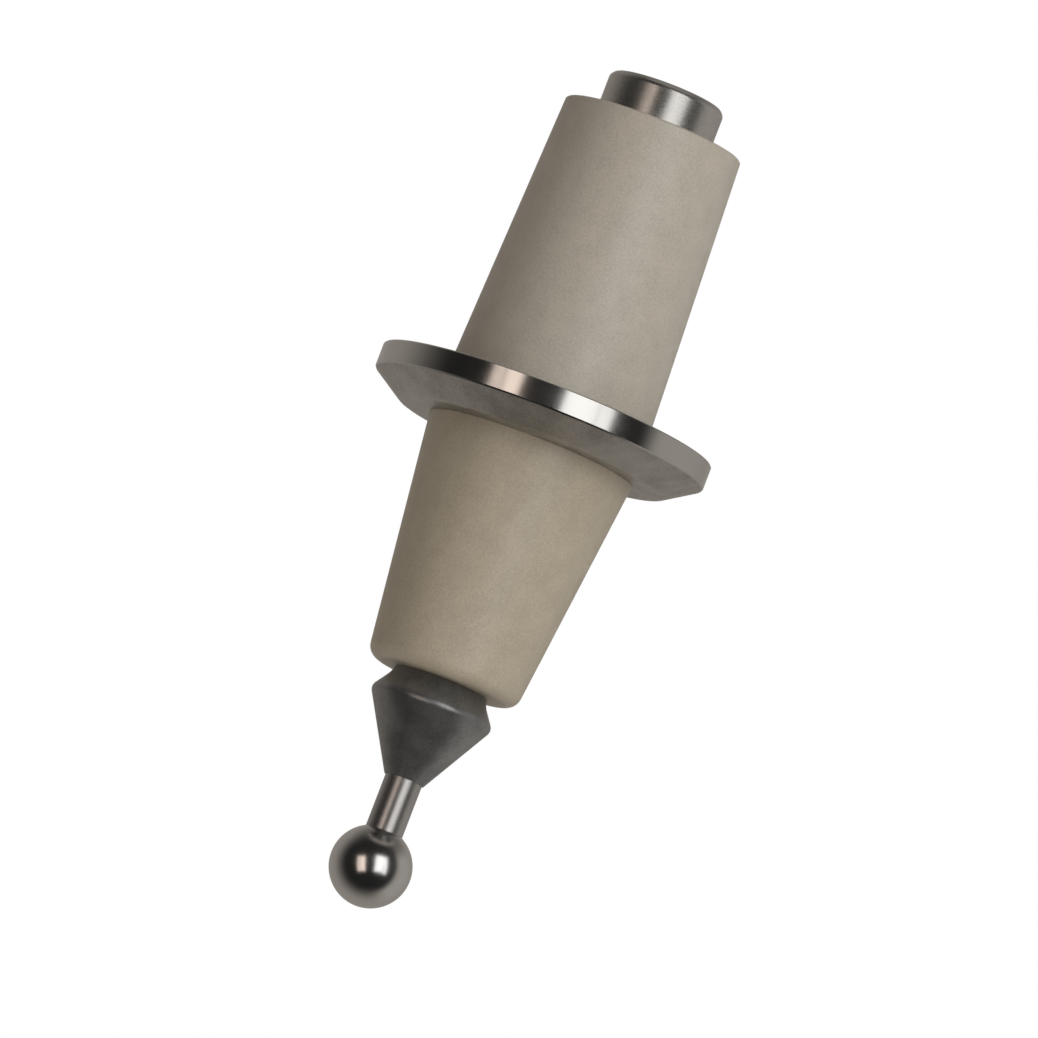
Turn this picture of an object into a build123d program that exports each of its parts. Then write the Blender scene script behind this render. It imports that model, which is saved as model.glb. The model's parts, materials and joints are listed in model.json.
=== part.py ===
from build123d import *
import math
import os

os.makedirs("parts", exist_ok=True)

# Sizes in mm. Z is the axis of the stylus, the tip points down and the collar's free face is at zero.

# Ball and the pin that carries it
ball_diameter = 4.0
pin_diameter = 1.84
pin_free_length = 2.65
ball_socket_depth = 1.05
pin_end_chamfer = 0.12

# Cone that holds the pin, with its neck and its flare
cone_rim_diameter = 6.16
cone_half_angle = 29.6
cone_end_lip = 0.07
cone_rim_rounding = 0.4
neck_top_diameter = 4.6
neck_end_diameter = 4.88
neck_length = 0.4
flare_length = 0.91
cone_spigot_diameter = 3.8
cone_spigot_length = 1.2
cone_socket_depth = 1.4

# Lower sleeve
lower_sleeve_top_diameter = 10.29
lower_sleeve_length = 12.0
lower_sleeve_half_angle = 6.6
lower_sleeve_end_rounding = 0.7

# Flange disc
flange_diameter = 16.7
flange_thickness = 2.25
flange_rim_height = 1.18
flange_bottom_diameter = 13.4
flange_rim_break = 0.06
flange_bottom_rounding = 0.3

# Upper sleeve
upper_sleeve_top_diameter = 8.92
upper_sleeve_length = 14.2
upper_sleeve_half_angle = 2.45
upper_sleeve_top_bevel = 0.08

# Core: the collar is its head, and its screwed end pulls the stack together
collar_diameter = 5.78
collar_height = 2.0
collar_bevel_height = 0.25
collar_bevel_width = 0.22
core_boss_diameter = 4.6
core_boss_length = 3.9
core_stem_diameter = 3.0
core_screw_length = 3.4

# Threads of nominal size 3 in the collar and 2.5 in the cone, drawn plain at the widths of their tapping drills
collar_thread_diameter = 2.5
collar_thread_depth = 4.5
collar_thread_bevel = 0.3
cone_thread_diameter = 2.05
drill_point_angle = 118

# Spigots by which both sleeves centre the flange, and the small edge breaks
spigot_diameter = 7.0
spigot_end_gap = 0.25
edge_break = 0.12

# Play between pieces
centring_play = 0.02
stem_play = 0.15
end_play = 0.3

# Heights that follow from the stack
collar_top = 0.0
sleeve_top = collar_top - collar_height
flange_top = sleeve_top - upper_sleeve_length
flange_bottom = flange_top - flange_thickness
sleeve_end = flange_bottom - lower_sleeve_length
neck_end = sleeve_end - neck_length
cone_rim = neck_end - flare_length
pin_radius = pin_diameter / 2
cone_end_radius = pin_radius + cone_end_lip
cone_rim_radius = cone_rim_diameter / 2
cone_slope = math.tan(math.radians(cone_half_angle))
cone_end = cone_rim - (cone_rim_radius - cone_end_radius) / cone_slope
pin_top = cone_end + cone_socket_depth
ball_radius = ball_diameter / 2
ball_centre = cone_end - pin_free_length - math.sqrt(ball_radius ** 2 - pin_radius ** 2)
pin_bottom = ball_centre + ball_radius - ball_socket_depth
cone_thread_radius = cone_thread_diameter / 2
stem_radius = core_stem_diameter / 2
stem_bore_radius = stem_radius + stem_play
boss_bottom = sleeve_top - core_boss_length
cone_spigot_top = sleeve_end + cone_spigot_length
screw_top = cone_spigot_top + end_play
screw_bottom = sleeve_end - core_screw_length + cone_spigot_length
spigot_length = (flange_thickness - spigot_end_gap) / 2
spigot_radius = spigot_diameter / 2


def turned(*points):
    """Solid of revolution about Z from the corners of its half section, each a radius and a height."""
    outline = Polyline(*[(radius, 0, height) for radius, height in points], close=True)
    return revolve(make_face(outline), Axis.Z, 360)


def ring_edges(solid, *places):
    """The round edges at the given places, each a radius and a height."""
    return [
        edge
        for edge in solid.edges().filter_by(GeomType.CIRCLE)
        for radius, height in places
        if abs(edge.radius - radius) < 1e-4 and abs(edge.center().Z - height) < 1e-4
    ]


def rounded(solid, size, *places):
    """The solid with the round edges at the places rounded."""
    return fillet(ring_edges(solid, *places), size)


def broken(solid, size, *places):
    """The solid with the round edges at the places chamfered."""
    return chamfer(ring_edges(solid, *places), size)


def drill_point(radius):
    """Depth of the cone that a drill leaves at the bottom of its hole."""
    return radius / math.tan(math.radians(drill_point_angle / 2))


def core():
    """Turned core: collar with a blind tapped hole, boss, stem and screwed end."""
    collar_radius = collar_diameter / 2
    boss_radius = core_boss_diameter / 2
    hole_radius = collar_thread_diameter / 2
    hole_bottom = collar_top - collar_thread_depth
    piece = turned(
        (0, hole_bottom - drill_point(hole_radius)),
        (hole_radius, hole_bottom),
        (hole_radius, collar_top),
        (collar_radius - collar_bevel_width, collar_top),
        (collar_radius, collar_top - collar_bevel_height),
        (collar_radius, sleeve_top),
        (boss_radius, sleeve_top),
        (boss_radius, boss_bottom),
        (stem_radius, boss_bottom),
        (stem_radius, screw_top),
        (cone_thread_radius, screw_top),
        (cone_thread_radius, screw_bottom),
        (0, screw_bottom),
    )
    piece = broken(piece, collar_thread_bevel, (hole_radius, collar_top))
    return broken(piece, edge_break, (boss_radius, boss_bottom), (cone_thread_radius, screw_bottom))


def upper_sleeve():
    """Tapered sleeve above the flange: seat for the boss, bore for the stem and a spigot for the flange."""
    top_radius = upper_sleeve_top_diameter / 2
    bottom_radius = top_radius + upper_sleeve_length * math.tan(math.radians(upper_sleeve_half_angle))
    seat_radius = core_boss_diameter / 2 + centring_play
    seat_bottom = boss_bottom - end_play
    spigot_end = flange_top - spigot_length
    piece = turned(
        (seat_radius, sleeve_top),
        (top_radius, sleeve_top),
        (bottom_radius, flange_top),
        (spigot_radius, flange_top),
        (spigot_radius, spigot_end),
        (stem_bore_radius, spigot_end),
        (stem_bore_radius, seat_bottom),
        (seat_radius, seat_bottom),
    )
    piece = broken(piece, upper_sleeve_top_bevel, (top_radius, sleeve_top))
    return broken(piece, edge_break, (bottom_radius, flange_top), (spigot_radius, spigot_end))


def flange():
    """Disc with a plain rim, a cone and a flat below it, and a bore for the spigots."""
    rim_radius = flange_diameter / 2
    rim_bottom = flange_top - flange_rim_height
    flat_radius = flange_bottom_diameter / 2
    bore_radius = spigot_radius + centring_play
    piece = turned(
        (bore_radius, flange_top),
        (rim_radius, flange_top),
        (rim_radius, rim_bottom),
        (flat_radius, flange_bottom),
        (bore_radius, flange_bottom),
    )
    piece = broken(piece, flange_rim_break, (rim_radius, flange_top), (rim_radius, rim_bottom))
    piece = rounded(piece, flange_bottom_rounding, (flat_radius, flange_bottom))
    return broken(piece, edge_break, (bore_radius, flange_top), (bore_radius, flange_bottom))


def lower_sleeve():
    """Tapered sleeve below the flange, with a spigot for the flange and a seat for the cone's spigot."""
    top_radius = lower_sleeve_top_diameter / 2
    end_radius = top_radius - lower_sleeve_length * math.tan(math.radians(lower_sleeve_half_angle))
    seat_radius = cone_spigot_diameter / 2 + centring_play
    seat_top = cone_spigot_top + end_play
    spigot_end = flange_bottom + spigot_length
    piece = turned(
        (stem_bore_radius, spigot_end),
        (spigot_radius, spigot_end),
        (spigot_radius, flange_bottom),
        (top_radius, flange_bottom),
        (end_radius, sleeve_end),
        (seat_radius, sleeve_end),
        (seat_radius, seat_top),
        (stem_bore_radius, seat_top),
    )
    piece = rounded(piece, lower_sleeve_end_rounding, (end_radius, sleeve_end))
    return broken(piece, edge_break, (spigot_radius, spigot_end))


def tip_cone():
    """Pin holder: spigot, neck, flare and cone, tapped from above and bored for the pin from below."""
    neck_top_radius = neck_top_diameter / 2
    neck_end_radius = neck_end_diameter / 2
    spigot_side = cone_spigot_diameter / 2
    hole_bottom = screw_bottom - end_play
    piece = turned(
        (0, pin_top),
        (pin_radius, pin_top),
        (pin_radius, cone_end),
        (cone_end_radius, cone_end),
        (cone_rim_radius, cone_rim),
        (neck_end_radius, neck_end),
        (neck_top_radius, sleeve_end),
        (spigot_side, sleeve_end),
        (spigot_side, cone_spigot_top),
        (cone_thread_radius, cone_spigot_top),
        (cone_thread_radius, hole_bottom),
        (0, hole_bottom - drill_point(cone_thread_radius)),
    )
    piece = rounded(piece, cone_rim_rounding, (cone_rim_radius, cone_rim))
    return broken(piece, edge_break, (spigot_side, cone_spigot_top), (cone_thread_radius, cone_spigot_top))


def tip_pin():
    """Plain pin between the cone and the ball."""
    piece = turned((0, pin_top), (pin_radius, pin_top), (pin_radius, pin_bottom), (0, pin_bottom))
    return broken(piece, pin_end_chamfer, (pin_radius, pin_top), (pin_radius, pin_bottom))


def tip_ball():
    """Ball with a flat-bottomed socket for the pin."""
    ball = Pos(0, 0, ball_centre) * Sphere(ball_radius)
    socket = Pos(0, 0, pin_bottom) * Cylinder(pin_radius, ball_radius, align=(Align.CENTER, Align.CENTER, Align.MIN))
    return ball - socket


pieces = {
    "core": core,
    "upper_sleeve": upper_sleeve,
    "flange": flange,
    "lower_sleeve": lower_sleeve,
    "tip_cone": tip_cone,
    "tip_pin": tip_pin,
    "tip_ball": tip_ball,
}
for name, make in pieces.items():
    export_step(make(), f"parts/{name}.step")
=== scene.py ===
import json
import math

import bpy
from mathutils import Matrix, Vector


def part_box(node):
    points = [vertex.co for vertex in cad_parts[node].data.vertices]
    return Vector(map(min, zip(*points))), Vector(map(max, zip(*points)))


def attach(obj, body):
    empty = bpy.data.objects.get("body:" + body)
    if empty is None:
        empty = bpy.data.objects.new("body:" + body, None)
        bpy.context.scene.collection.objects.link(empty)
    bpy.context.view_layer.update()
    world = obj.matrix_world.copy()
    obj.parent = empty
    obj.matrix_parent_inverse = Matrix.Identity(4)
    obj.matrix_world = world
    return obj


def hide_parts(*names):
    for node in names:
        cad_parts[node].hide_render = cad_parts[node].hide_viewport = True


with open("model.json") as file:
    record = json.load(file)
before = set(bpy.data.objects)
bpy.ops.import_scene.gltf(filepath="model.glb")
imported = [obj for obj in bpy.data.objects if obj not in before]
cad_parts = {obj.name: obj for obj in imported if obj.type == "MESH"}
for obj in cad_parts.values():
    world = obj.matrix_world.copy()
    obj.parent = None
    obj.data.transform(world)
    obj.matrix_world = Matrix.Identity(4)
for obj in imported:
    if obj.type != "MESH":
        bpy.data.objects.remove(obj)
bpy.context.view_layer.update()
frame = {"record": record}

# Sizes in metres that the frame's boxes don't give
mm = 0.001
collar_bevel_height = 0.25 * mm
collar_bevel_width = 0.22 * mm
collar_bevel_rounding = 0.3 * mm
boss_radius = 2.3 * mm
boss_length = 3.9 * mm
stem_radius = 1.5 * mm
screw_radius = 1.025 * mm
hole_radius = 1.25 * mm
hole_depth = 4.5 * mm
hole_bevel = 0.3 * mm
drill_half_angle = math.radians(59)
centring_play = 0.02 * mm
stem_play = 0.15 * mm
end_play = 0.3 * mm
spigot_radius = 3.5 * mm
edge_break = 0.12 * mm
sleeve_half_angle = math.radians(2.45)
sleeve_top_bevel = 0.08 * mm
sleeve_bevel_rounding = 0.04 * mm
rim_height = 1.18 * mm
rim_break = 0.06 * mm
rim_break_drop = 0.024 * mm
flat_radius = 6.7 * mm
flat_rounding = 0.6 * mm
lower_half_angle = math.radians(6.6)
lower_end_rounding = 0.7 * mm
cone_spigot_radius = 1.9 * mm
cone_spigot_length = 1.2 * mm
neck_top_radius = 2.3 * mm
neck_end_radius = 2.44 * mm
neck_length = 0.4 * mm
neck_rounding = 1.2 * mm
flare_length = 0.91 * mm
cone_rim_radius = 3.08 * mm
cone_rim_rounding = 0.4 * mm
cone_end_lip = 0.07 * mm
cone_socket_depth = 1.4 * mm
pin_chamfer = 0.12 * mm

# Thread in the collar's hole, whose share runs from nothing on its crest to one in its root
thread_pitch = 0.5 * mm
thread_depth = 0.24 * mm
thread_rows = 8
crest_end = 0.17
root_start = 0.83
flank_steepness = 1.5
flank_offset = 0.25
flank_lean = 1.2

# How finely the outlines are rounded and turned
segments = 256
fine_edge = 0.02 * mm
smooth_turn = math.radians(12)
round_step = math.radians(12)
fewest_round_steps = 3
corner_share = 0.45
ball_step = math.radians(3)
same_place = 1e-6
on_axis = 1e-7

# Places that the frame gives
core_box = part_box("core")
upper_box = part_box("upper_sleeve")
flange_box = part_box("flange")
lower_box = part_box("lower_sleeve")
cone_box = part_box("tip_cone")
pin_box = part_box("tip_pin")
ball_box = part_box("tip_ball")
collar_top = core_box[1].z
collar_radius = core_box[1].x
screw_bottom = core_box[0].z
sleeve_top = upper_box[1].z
flange_top = flange_box[1].z
flange_bottom = flange_box[0].z
rim_radius = flange_box[1].x
sleeve_end = lower_box[0].z
screw_top = sleeve_end + cone_spigot_length + end_play
lower_top_radius = lower_box[1].x
cone_end = cone_box[0].z
pin_radius = pin_box[1].x
ball_radius = ball_box[1].x
ball_centre = ball_box[0].z + ball_radius


def turn_of(before, after):
    """Signed angle by which the outline turns from one direction to the next."""
    cross = before.x * after.y - before.y * after.x
    return math.atan2(cross, before.dot(after))


def stations(corners, closed):
    """Points of the outline with their normals, each corner rounded by its own radius."""
    points = [Vector(corner[:2]) for corner in corners]
    found = []
    count = len(points)
    for index, point in enumerate(points):
        radius = corners[index][2] if len(corners[index]) > 2 else fine_edge
        if not closed and index in (0, count - 1):
            normal = Vector((0, 1 if index else -1))
            found.append((point, normal))
            continue
        before = point - points[index - 1]
        after = points[(index + 1) % count] - point
        reach = corner_share * min(before.length, after.length)
        before.normalize()
        after.normalize()
        turn = turn_of(before, after)
        start_normal = Vector((before.y, -before.x))
        if abs(turn) < smooth_turn:
            normal = (start_normal + Vector((after.y, -after.x))).normalized()
            found.append((point, normal))
            continue
        radius = min(radius, reach / math.tan(abs(turn) / 2))
        side = 1 if turn > 0 else -1
        start = point - before * radius * math.tan(abs(turn) / 2)
        centre = start - start_normal * radius * side
        steps = max(fewest_round_steps, math.ceil(abs(turn) / round_step))
        for step in range(steps + 1):
            angle = turn * step / steps
            turned = Matrix.Rotation(angle, 2) @ start_normal
            found.append((centre + turned * radius * side, turned))
    return found


def lathe(name, corners, closed=False, thread=None):
    """Mesh object turned about Z from an outline that runs with the solid on its left."""
    vertices = []
    normals = []
    rings = []
    faces = []
    for point, normal in stations(corners, closed):
        if point.x < on_axis:
            rings.append([len(vertices)])
            vertices.append((0, 0, point.y))
            normals.append((0, 0, math.copysign(1, normal.y)))
            continue
        rings.append(range(len(vertices), len(vertices) + segments))
        for step in range(segments):
            angle = math.tau * step / segments
            radius = point.x
            lean = 0
            if thread:
                radius, lean = thread(point.x, point.y, angle)
            vertices.append((radius * math.cos(angle), radius * math.sin(angle), point.y))
            normals.append((normal.x * math.cos(angle), normal.x * math.sin(angle), normal.y + lean))
    pairs = list(zip(rings, rings[1:]))
    if closed:
        pairs.append((rings[-1], rings[0]))
    for low, high in pairs:
        for step in range(segments):
            after = (step + 1) % segments
            corners_of_face = [
                low[step % len(low)],
                low[after % len(low)],
                high[after % len(high)],
                high[step % len(high)],
            ]
            faces.append(list(dict.fromkeys(corners_of_face)))
    mesh = bpy.data.meshes.new(name)
    mesh.from_pydata(vertices, [], faces)
    mesh.shade_smooth()
    mesh.normals_split_custom_set_from_vertices([Vector(normal).normalized() for normal in normals])
    piece = bpy.data.objects.new(name, mesh)
    bpy.context.scene.collection.objects.link(piece)
    return piece


def hole_thread(radius, height, angle):
    """Radius and normal's lean on the helical groove of the collar's hole, and nothing elsewhere."""
    first = -hole_bevel
    last = -hole_depth + thread_pitch
    if abs(radius - hole_radius) > same_place or not last < height < first:
        return radius, 0
    phase = (height / thread_pitch + angle / math.tau) % 1
    share = abs(phase * 2 - 1)
    fade = min(1, min(first - height, height - last) / thread_pitch)
    depth = thread_depth * min(1, max(0, share * flank_steepness - flank_offset)) * fade
    lean = math.copysign(flank_lean, phase - 0.5) if crest_end <= share <= root_start else 0
    return radius + depth, lean * fade


def core():
    """Collar with its threaded hole, boss, stem and screwed end."""
    hole_bottom = -hole_depth
    point = hole_radius / math.tan(drill_half_angle)
    rows = int((hole_depth - hole_bevel) / thread_pitch * thread_rows)
    wall = [
        (hole_radius, -hole_bevel - (hole_depth - hole_bevel) * row / rows)
        for row in range(rows + 1)
    ]
    return lathe("core_turned", [
        (0, screw_bottom),
        (screw_radius - edge_break, screw_bottom),
        (screw_radius, screw_bottom + edge_break),
        (screw_radius, screw_top),
        (stem_radius, screw_top),
        (stem_radius, sleeve_top - boss_length),
        (boss_radius - edge_break, sleeve_top - boss_length),
        (boss_radius, sleeve_top - boss_length + edge_break),
        (boss_radius, sleeve_top),
        (collar_radius, sleeve_top),
        (collar_radius, collar_top - collar_bevel_height, collar_bevel_rounding),
        (collar_radius - collar_bevel_width, collar_top, collar_bevel_rounding),
        (hole_radius + hole_bevel, collar_top),
        *wall,
        (0, hole_bottom - point),
    ], thread=hole_thread)


def upper_sleeve():
    """Tapered sleeve above the flange, with its seat, bore and spigot."""
    bottom_radius = upper_box[1].x
    top_radius = bottom_radius - (sleeve_top - flange_top) * math.tan(sleeve_half_angle)
    seat_radius = boss_radius + centring_play
    bore_radius = stem_radius + stem_play
    seat_bottom = sleeve_top - boss_length - end_play
    spigot_end = upper_box[0].z
    return lathe("upper_sleeve_body", [
        (bore_radius, spigot_end),
        (spigot_radius - edge_break, spigot_end),
        (spigot_radius, spigot_end + edge_break),
        (spigot_radius, flange_top),
        (bottom_radius - edge_break, flange_top),
        (bottom_radius, flange_top + edge_break),
        (top_radius, sleeve_top - sleeve_top_bevel, sleeve_bevel_rounding),
        (top_radius - sleeve_top_bevel, sleeve_top, sleeve_bevel_rounding),
        (seat_radius, sleeve_top),
        (seat_radius, seat_bottom),
        (bore_radius, seat_bottom),
    ], closed=True)


def flange():
    """Disc with its polished rim, turned cone and flat, and its bore."""
    bore_radius = spigot_radius + centring_play
    rim_bottom = flange_top - rim_height
    return lathe("flange_disc", [
        (bore_radius, flange_bottom + edge_break),
        (bore_radius + edge_break, flange_bottom),
        (flat_radius, flange_bottom, flat_rounding),
        (rim_radius - rim_break, rim_bottom - rim_break_drop),
        (rim_radius, rim_bottom + rim_break),
        (rim_radius, flange_top - rim_break),
        (rim_radius - rim_break, flange_top),
        (bore_radius + edge_break, flange_top),
        (bore_radius, flange_top - edge_break),
    ], closed=True)


def lower_sleeve():
    """Tapered sleeve below the flange, with its spigot, bore and seat."""
    end_radius = lower_top_radius - (flange_bottom - sleeve_end) * math.tan(lower_half_angle)
    seat_radius = cone_spigot_radius + centring_play
    seat_top = sleeve_end + cone_spigot_length + end_play
    bore_radius = stem_radius + stem_play
    spigot_end = lower_box[1].z
    return lathe("lower_sleeve_body", [
        (seat_radius, sleeve_end),
        (end_radius, sleeve_end, lower_end_rounding),
        (lower_top_radius, flange_bottom),
        (spigot_radius, flange_bottom),
        (spigot_radius, spigot_end - edge_break),
        (spigot_radius - edge_break, spigot_end),
        (bore_radius, spigot_end),
        (bore_radius, seat_top),
        (seat_radius, seat_top),
    ], closed=True)


def tip_cone():
    """Cone with its flare, neck and spigot, tapped from above and bored for the pin."""
    hole_bottom = screw_bottom - end_play
    point = screw_radius / math.tan(drill_half_angle)
    spigot_top = sleeve_end + cone_spigot_length
    neck_end = sleeve_end - neck_length
    pin_top = cone_end + cone_socket_depth
    return lathe("tip_cone_turned", [
        (0, pin_top),
        (pin_radius, pin_top),
        (pin_radius, cone_end),
        (pin_radius + cone_end_lip, cone_end),
        (cone_rim_radius, neck_end - flare_length, cone_rim_rounding),
        (neck_end_radius, neck_end, neck_rounding),
        (neck_top_radius, sleeve_end),
        (cone_spigot_radius, sleeve_end),
        (cone_spigot_radius, spigot_top - edge_break),
        (cone_spigot_radius - edge_break, spigot_top),
        (screw_radius + edge_break, spigot_top),
        (screw_radius, spigot_top - edge_break),
        (screw_radius, hole_bottom),
        (0, hole_bottom - point),
    ])


def tip_pin():
    """Ground pin between the cone and the ball."""
    low = pin_box[0].z
    high = pin_box[1].z
    return lathe("tip_pin_ground", [
        (0, low),
        (pin_radius - pin_chamfer, low),
        (pin_radius, low + pin_chamfer),
        (pin_radius, high - pin_chamfer),
        (pin_radius - pin_chamfer, high),
        (0, high),
    ])


def tip_ball():
    """Ball with its flat-bottomed socket."""
    first = -math.pi / 2
    last = math.acos(pin_radius / ball_radius)
    steps = math.ceil((last - first) / ball_step)
    outside = []
    for step in range(1, steps + 1):
        angle = first + (last - first) * step / steps
        outside.append((ball_radius * math.cos(angle), ball_centre + ball_radius * math.sin(angle)))
    return lathe("tip_ball_lapped", [
        (0, ball_centre - ball_radius),
        *outside,
        (pin_radius, pin_box[0].z),
        (0, pin_box[0].z),
    ])


# Grain of the materials, in features to the millimetre
ring_scale = 22.0
cloud_scale = 0.7
grain_scale = 12.0
scratch_scale = 3.0
scratch_stretch = (0.4, 0.4, 14.0)
ceramic_grain_scale = 11.0
ceramic_mottle_scale = 0.9
ceramic_ring_scale = 6.0

# Spread of one noise, of the sum of two, and of the ceramic's shade
noise_spread = (0.3, 0.7)
sum_spread = (0.7, 1.3)
shade_spread = (0.42, 0.88)

# Strengths of the relief, and the ceramic's roughness
steel_relief = 0.01 * mm
ceramic_relief = 0.03 * mm
ceramic_bump = 0.25
mottle_share = 0.3
ring_share = 0.3
ceramic_roughness = (0.33, 0.45)

# Where the flange's finishes start and are full, in millimetres inside its rim and below its upper face
rim_finish_start = 0.07
rim_finish_full = 0.03
face_finish_start = 0.05
face_finish_full = 0.01


class Nodes:
    """Short way to add nodes to one material and link them."""

    def __init__(self, name, shader="ShaderNodeBsdfPrincipled"):
        self.material = bpy.data.materials.new(name)
        self.material.use_nodes = True
        self.tree = self.material.node_tree
        self.tree.nodes.clear()
        output = self.add("ShaderNodeOutputMaterial")
        self.shader = self.add(shader)
        self.link(self.shader.outputs[0], output.inputs["Surface"])
        place = self.add("ShaderNodeTexCoord").outputs["Object"]
        self.place = self.vector("SCALE", place, scale=1 / mm)
        split = self.add("ShaderNodeSeparateXYZ")
        self.link(self.place, split.inputs[0])
        self.height = split.outputs[2]
        flat = self.vector("MULTIPLY", self.place, (1, 1, 0))
        self.radius = self.vector("LENGTH", flat, output=1)
        join = self.add("ShaderNodeCombineXYZ")
        self.link(self.radius, join.inputs[0])
        self.link(self.height, join.inputs[1])
        self.section = join.outputs[0]

    def add(self, kind, **settings):
        node = self.tree.nodes.new(kind)
        for name, value in settings.items():
            setattr(node, name, value)
        return node

    def link(self, source, target):
        self.tree.links.new(source, target)

    def feed(self, value, socket):
        if isinstance(value, bpy.types.NodeSocket):
            self.link(value, socket)
        else:
            socket.default_value = value

    def vector(self, operation, first, second=None, scale=None, output=0):
        node = self.add("ShaderNodeVectorMath", operation=operation)
        self.feed(first, node.inputs[0])
        if second is not None:
            self.feed(second, node.inputs[1])
        if scale is not None:
            node.inputs["Scale"].default_value = scale
        return node.outputs[output]

    def math(self, operation, first, second=0.0):
        node = self.add("ShaderNodeMath", operation=operation)
        self.feed(first, node.inputs[0])
        self.feed(second, node.inputs[1])
        return node.outputs[0]

    def noise(self, place, scale, detail=2.0, roughness=0.5):
        node = self.add("ShaderNodeTexNoise")
        self.feed(place, node.inputs["Vector"])
        node.inputs["Scale"].default_value = scale
        node.inputs["Detail"].default_value = detail
        node.inputs["Roughness"].default_value = roughness
        return node.outputs[0]

    def range(self, value, low, high, to_low, to_high):
        node = self.add("ShaderNodeMapRange", interpolation_type="SMOOTHSTEP")
        for socket, setting in zip(node.inputs, (value, low, high, to_low, to_high)):
            self.feed(setting, socket)
        return node.outputs[0]

    def colours(self, factor, first, second):
        node = self.add("ShaderNodeMix", data_type="RGBA")
        self.feed(factor, node.inputs[0])
        self.feed((*first, 1) if isinstance(first, tuple) else first, node.inputs[6])
        self.feed((*second, 1) if isinstance(second, tuple) else second, node.inputs[7])
        return node.outputs[2]

    def blend(self, factor, first, second):
        node = self.add("ShaderNodeMix")
        self.feed(factor, node.inputs[0])
        self.feed(first, node.inputs[2])
        self.feed(second, node.inputs[3])
        return node.outputs[0]

    def bump(self, height, strength, distance):
        node = self.add("ShaderNodeBump")
        self.link(height, node.inputs["Height"])
        self.feed(strength, node.inputs["Strength"])
        node.inputs["Distance"].default_value = distance
        self.link(node.outputs[0], self.shader.inputs["Normal"])


def steel(name, dark, light, smooth, rough, marks, metallic, zones=()):
    """Turned or ground steel: rings from the tool, fine grain, faint clouds and fine scratches."""
    nodes = Nodes(name)
    rings = nodes.noise(nodes.section, ring_scale, detail=3.0, roughness=0.6)
    clouds = nodes.noise(nodes.place, cloud_scale, detail=3.0)
    grain = nodes.noise(nodes.place, grain_scale, detail=3.0, roughness=0.7)
    stretched = nodes.vector("MULTIPLY", nodes.place, scratch_stretch)
    scratches = nodes.noise(stretched, scratch_scale, detail=4.0, roughness=0.65)
    shade = nodes.range(nodes.math("ADD", clouds, grain), *sum_spread, 0, 1)
    colour = nodes.colours(shade, dark, light)
    finish = nodes.range(nodes.math("ADD", clouds, scratches), *sum_spread, smooth, rough)
    strength = marks
    for zone in zones:
        share = zone["share"](nodes)
        colour = nodes.colours(share, colour, zone["colour"])
        own_finish = nodes.range(clouds, *noise_spread, zone["smooth"], zone["rough"])
        finish = nodes.blend(share, finish, own_finish)
        strength = nodes.blend(share, strength, zone["marks"])
        metallic = nodes.blend(share, metallic, zone["metallic"])
    nodes.link(colour, nodes.shader.inputs["Base Color"])
    nodes.feed(metallic, nodes.shader.inputs["Metallic"])
    nodes.link(finish, nodes.shader.inputs["Roughness"])
    nodes.bump(nodes.math("ADD", rings, scratches), strength, steel_relief)
    return nodes.material


def ceramic(name, dark, light):
    """Matt body: fine grain, faint mottling and hardly visible rings."""
    nodes = Nodes(name)
    grain = nodes.noise(nodes.place, ceramic_grain_scale, detail=4.0, roughness=0.75)
    mottle = nodes.noise(nodes.place, ceramic_mottle_scale, detail=3.0)
    rings = nodes.noise(nodes.section, ceramic_ring_scale)
    tone = nodes.math("ADD", grain, nodes.math("MULTIPLY", mottle, mottle_share))
    shade = nodes.range(tone, *shade_spread, 0, 1)
    relief = nodes.math("ADD", grain, nodes.math("MULTIPLY", rings, ring_share))
    nodes.link(nodes.colours(shade, dark, light), nodes.shader.inputs["Base Color"])
    nodes.link(nodes.range(grain, *noise_spread, *ceramic_roughness), nodes.shader.inputs["Roughness"])
    nodes.bump(relief, ceramic_bump, ceramic_relief)
    return nodes.material


def rim_share(nodes):
    """One on the flange's plain rim and nothing on its faces."""
    rim = rim_radius / mm
    return nodes.range(nodes.radius, rim - rim_finish_start, rim - rim_finish_full, 0, 1)


def upper_face_share(nodes):
    """One on the flange's upper face, inside its rim, and nothing below it."""
    face = flange_top / mm
    upper = nodes.range(nodes.height, face - face_finish_start, face - face_finish_full, 0, 1)
    inside = nodes.math("SUBTRACT", 1.0, rim_share(nodes))
    return nodes.math("MULTIPLY", upper, inside)


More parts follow.
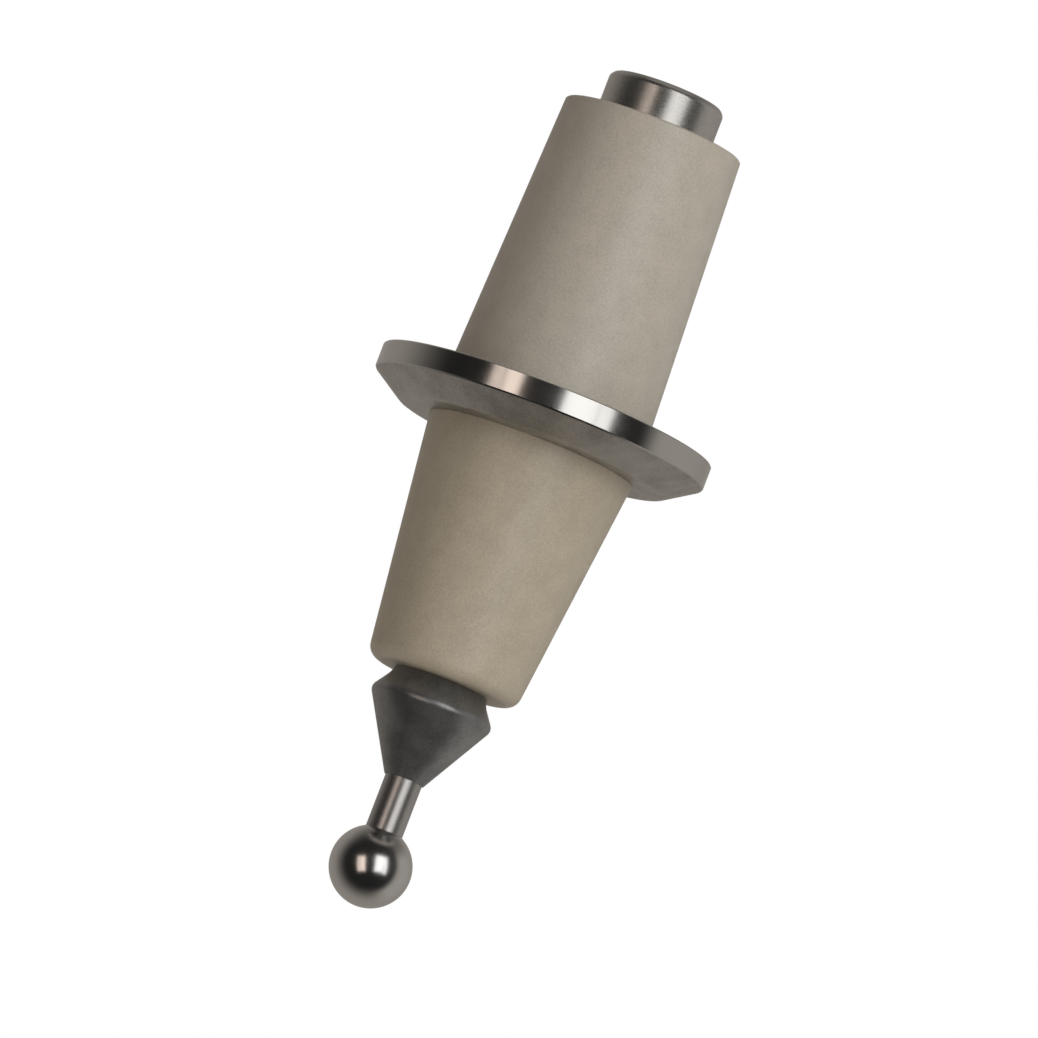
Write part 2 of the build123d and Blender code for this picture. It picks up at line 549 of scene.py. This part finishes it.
flange_zones = (
    {
        "share": rim_share,
        "colour": (0.56, 0.55, 0.53),
        "smooth": 0.15,
        "rough": 0.19,
        "marks": 0.015,
        "metallic": 1.0,
    },
    {
        "share": upper_face_share,
        "colour": (0.66, 0.65, 0.62),
        "smooth": 0.35,
        "rough": 0.45,
        "marks": 0.2,
        "metallic": 0.6,
    },
)
steels = {
    "polished_steel": {
        "dark": (0.46, 0.45, 0.43),
        "light": (0.54, 0.525, 0.505),
        "smooth": 0.26,
        "rough": 0.33,
        "marks": 0.015,
        "metallic": 0.94,
    },
    "flange_steel": {
        "dark": (0.34, 0.33, 0.31),
        "light": (0.58, 0.56, 0.53),
        "smooth": 0.3,
        "rough": 0.46,
        "marks": 0.4,
        "metallic": 0.95,
        "zones": flange_zones,
    },
    "dark_metal": {
        "dark": (0.195, 0.197, 0.2),
        "light": (0.32, 0.32, 0.318),
        "smooth": 0.33,
        "rough": 0.41,
        "marks": 0.15,
        "metallic": 0.85,
    },
    "pin_steel": {
        "dark": (0.4, 0.39, 0.38),
        "light": (0.48, 0.47, 0.46),
        "smooth": 0.29,
        "rough": 0.36,
        "marks": 0.05,
        "metallic": 0.95,
    },
    "ball_steel": {
        "dark": (0.6, 0.59, 0.58),
        "light": (0.66, 0.65, 0.64),
        "smooth": 0.19,
        "rough": 0.23,
        "marks": 0.02,
        "metallic": 1.0,
    },
}
finishes = {name: steel(name, **values) for name, values in steels.items()}
ceramics = {
    "upper_sleeve": ceramic("upper_ceramic", dark=(0.337, 0.308, 0.259), light=(0.449, 0.409, 0.345)),
    "lower_sleeve": ceramic("lower_ceramic", dark=(0.317, 0.276, 0.209), light=(0.423, 0.368, 0.28)),
}

# Pieces
slots = {row["node"]: row["material_slot"] for row in frame["record"]["subparts"]}
pieces = {
    "core": core,
    "upper_sleeve": upper_sleeve,
    "flange": flange,
    "lower_sleeve": lower_sleeve,
    "tip_cone": tip_cone,
    "tip_pin": tip_pin,
    "tip_ball": tip_ball,
}
for node, make in pieces.items():
    piece = make()
    piece.data.materials.append(ceramics.get(node) or finishes[slots[node]])
    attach(piece, "root")
    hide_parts(node)

# Camera: below the flange's level, rolled so that the collar leans to the right
photo_width = 1038
pixels_per_mm = 21.0
distance = 1.0
sensor_width = 36
far_end = 20
below = math.radians(7)
roll = math.radians(21)
aim = Vector((0.667 * mm, 0, -21.79 * mm))
towards_camera = Vector((0, -math.cos(below), -math.sin(below)))
camera_data = bpy.data.cameras.new("camera")
camera_data.sensor_width = sensor_width
camera_data.lens = sensor_width * distance / (photo_width / pixels_per_mm * mm)
camera_data.clip_end = far_end
camera = bpy.data.objects.new("camera", camera_data)
upright = towards_camera.to_track_quat("Z", "Y").to_matrix()
facing = upright @ Matrix.Rotation(roll, 3, "Z")
camera.matrix_world = Matrix.Translation(aim + towards_camera * distance) @ facing.to_4x4()
bpy.context.scene.collection.objects.link(camera)
bpy.context.scene.camera = camera

# Lamps, with their places and sizes in degrees as seen from the part
lamp_distance = 0.9
daylight = (1.0, 0.995, 0.985)
warm_light = (1.0, 0.86, 0.74)
pane_light = (1.0, 0.84, 0.74)
window_up = 15
window_height = 44
window_lean = math.radians(8)
pane_height = 40
fill_size = 60


def lamp(name, right, up, width, height, brightness, colour, seen=False, lean=roll):
    """Soft area lamp, right of and above the camera, which reflections show only if it is seen."""
    turn = upright @ Matrix.Rotation(math.radians(right), 3, "Y")
    turn = turn @ Matrix.Rotation(-math.radians(up), 3, "X")
    turn = turn @ Matrix.Rotation(lean, 3, "Z")
    data = bpy.data.lights.new(name, "AREA")
    data.shape = "RECTANGLE"
    data.size = 2 * lamp_distance * math.tan(math.radians(width / 2))
    data.size_y = 2 * lamp_distance * math.tan(math.radians(height / 2))
    data.energy = brightness * math.pi * data.size * data.size_y
    data.color = colour
    light = bpy.data.objects.new(name, data)
    light.matrix_world = Matrix.Translation(aim + turn @ Vector((0, 0, lamp_distance))) @ turn.to_4x4()
    light.visible_camera = False
    light.visible_glossy = seen
    bpy.context.scene.collection.objects.link(light)


def window(name, right, width, brightness):
    """Bright window on the right, which reflections show."""
    lamp(name, right, window_up, width, window_height, brightness, daylight, seen=True, lean=window_lean)


def pane(name, right, up, width, brightness):
    """Warmer window pane on the left, which reflections show."""
    lamp(name, right, up, width, pane_height, brightness, pane_light, seen=True)


def fill(name, right, up, brightness, colour=daylight, size=fill_size):
    """Wide soft light, which reflections don't show."""
    lamp(name, right, up, size, size, brightness, colour)


window("window_right_wide", right=20.6, width=23.0, brightness=1.75)
window("window_right_narrow", right=38.9, width=10.6, brightness=1.6)
pane("window_left_outer", right=-32.8, up=-3.7, width=8.6, brightness=1.4)
pane("window_left_inner", right=-22.3, up=0.4, width=11.4, brightness=1.6)
fill("right_fill", right=36, up=43, brightness=1.7, size=50)
fill("front_fill", right=35, up=22, brightness=0.65)
fill("low_fill", right=22, up=-55, brightness=0.8, colour=warm_light)
fill("back_right_fill", right=132, up=-4, brightness=0.6)
fill("back_fill", right=175, up=15, brightness=0.8)
fill("back_left_fill", right=-152, up=18, brightness=0.75, colour=warm_light)

# World: white where it is seen or reflected, and a soft warm light elsewhere
soft_colour = (1.0, 0.89, 0.79, 1)
soft_strength = 0.06
world = bpy.data.worlds.new("world")
world.use_nodes = True
bpy.context.scene.world = world
tree = world.node_tree
tree.nodes.clear()
out = tree.nodes.new("ShaderNodeOutputWorld")
paths = tree.nodes.new("ShaderNodeLightPath")
seen_by = tree.nodes.new("ShaderNodeMath")
seen_by.operation = "MAXIMUM"
tree.links.new(paths.outputs["Is Camera Ray"], seen_by.inputs[0])
tree.links.new(paths.outputs["Is Glossy Ray"], seen_by.inputs[1])
also = tree.nodes.new("ShaderNodeMath")
also.operation = "MAXIMUM"
tree.links.new(seen_by.outputs[0], also.inputs[0])
tree.links.new(paths.outputs["Is Transmission Ray"], also.inputs[1])
white = tree.nodes.new("ShaderNodeBackground")
white.inputs["Color"].default_value = (1, 1, 1, 1)
soft = tree.nodes.new("ShaderNodeBackground")
soft.inputs["Color"].default_value = soft_colour
soft.inputs["Strength"].default_value = soft_strength
choose = tree.nodes.new("ShaderNodeMixShader")
tree.links.new(also.outputs[0], choose.inputs[0])
tree.links.new(soft.outputs[0], choose.inputs[1])
tree.links.new(white.outputs[0], choose.inputs[2])
tree.links.new(choose.outputs[0], out.inputs["Surface"])


def stage_mesh(name, vertices, faces):
    """Object of the studio, which isn't part of the stylus."""
    mesh = bpy.data.meshes.new(name)
    mesh.from_pydata(vertices, [], faces)
    thing = bpy.data.objects.new(name, mesh)
    bpy.context.scene.collection.objects.link(thing)
    return thing


# Floor, far enough below for the camera to stay above it
floor_level = -0.17
floor_half = 4.0
floor_colour = (0.93, 0.93, 0.93, 1)
floor_roughness = 0.9
floor_glow = 0.35
floor_corners = [
    (-floor_half, -floor_half, floor_level),
    (floor_half, -floor_half, floor_level),
    (floor_half, floor_half, floor_level),
    (-floor_half, floor_half, floor_level),
]
floor = stage_mesh("floor", floor_corners, [(0, 1, 2, 3)])
floor.visible_glossy = False
floor_nodes = Nodes("floor_paint")
floor_nodes.shader.inputs["Base Color"].default_value = floor_colour
floor_nodes.shader.inputs["Roughness"].default_value = floor_roughness
floor_nodes.shader.inputs["Emission Color"].default_value = (1, 1, 1, 1)
floor_seen = floor_nodes.add("ShaderNodeLightPath").outputs["Is Camera Ray"]
glow = floor_nodes.math("MULTIPLY", floor_seen, floor_glow)
floor_nodes.link(glow, floor_nodes.shader.inputs["Emission Strength"])
floor.data.materials.append(floor_nodes.material)

# Grey card all round and dark card behind the camera, which only reflections show
card_distance = 1.4
card_rings = 48
card_steps = 96
card_lean = math.radians(-7.5)
card_nod = math.radians(-6)
card_dark = (0.02, 0.02, 0.02)
left_grey = (0.34, 0.315, 0.285)
right_grey = (0.44, 0.415, 0.385)

# Angles from the camera at which the grey is full and gone, on the left and on the right
left_full = 122
left_gone = 64
right_full = 94
right_gone = 74

# Sine of the angle to the right, and of the angle up, at which a change starts and is done
right_start = 0.3
right_done = 0.9
dim_start = 0.5
dim_done = 0.85
dim_level = 0.55
overhead_start = 0.88
overhead_done = 0.95

card_vertices = []
for ring in range(card_rings + 1):
    polar = math.pi * ring / card_rings
    for step in range(card_steps):
        around = math.tau * step / card_steps
        card_vertices.append((
            card_distance * math.sin(polar) * math.cos(around),
            card_distance * math.sin(polar) * math.sin(around),
            card_distance * math.cos(polar),
        ))
card_faces = [
    (
        ring * card_steps + step,
        ring * card_steps + (step + 1) % card_steps,
        (ring + 1) * card_steps + (step + 1) % card_steps,
        (ring + 1) * card_steps + step,
    )
    for ring in range(card_rings)
    for step in range(card_steps)
]
cards = stage_mesh("cards", card_vertices, card_faces)
card_turn = Matrix.Rotation(card_lean, 3, "Y") @ Matrix.Rotation(card_nod, 3, "X")
cards.matrix_world = Matrix.Translation(aim) @ (upright @ card_turn).to_4x4()
cards.visible_camera = False
cards.visible_diffuse = False
cards.visible_shadow = False
card_nodes = Nodes("card", shader="ShaderNodeEmission")
split = card_nodes.add("ShaderNodeSeparateXYZ")
card_nodes.link(card_nodes.vector("NORMALIZE", card_nodes.place), split.inputs[0])
rightward, upward, forward = split.outputs


def grey_share(full, gone):
    """One where the card is full grey and nothing where it is dark, by the angle from the camera."""
    return card_nodes.range(forward, math.cos(math.radians(full)), math.cos(math.radians(gone)), 1, 0)


right_share = card_nodes.range(rightward, right_start, right_done, 0, 1)
left_light = grey_share(left_full, left_gone)
right_light = grey_share(right_full, right_gone)
light_share = card_nodes.blend(right_share, left_light, right_light)
dimming = card_nodes.range(upward, dim_start, dim_done, 1, dim_level)
overhead = card_nodes.range(upward, overhead_start, overhead_done, 0, 1)
light_share = card_nodes.blend(overhead, card_nodes.math("MULTIPLY", light_share, dimming), 1.0)
grey = card_nodes.colours(right_share, left_grey, right_grey)
card_nodes.link(card_nodes.colours(light_share, card_dark, grey), card_nodes.shader.inputs["Color"])
cards.data.materials.append(card_nodes.material)

bpy.context.scene.view_settings.view_transform = "Standard"
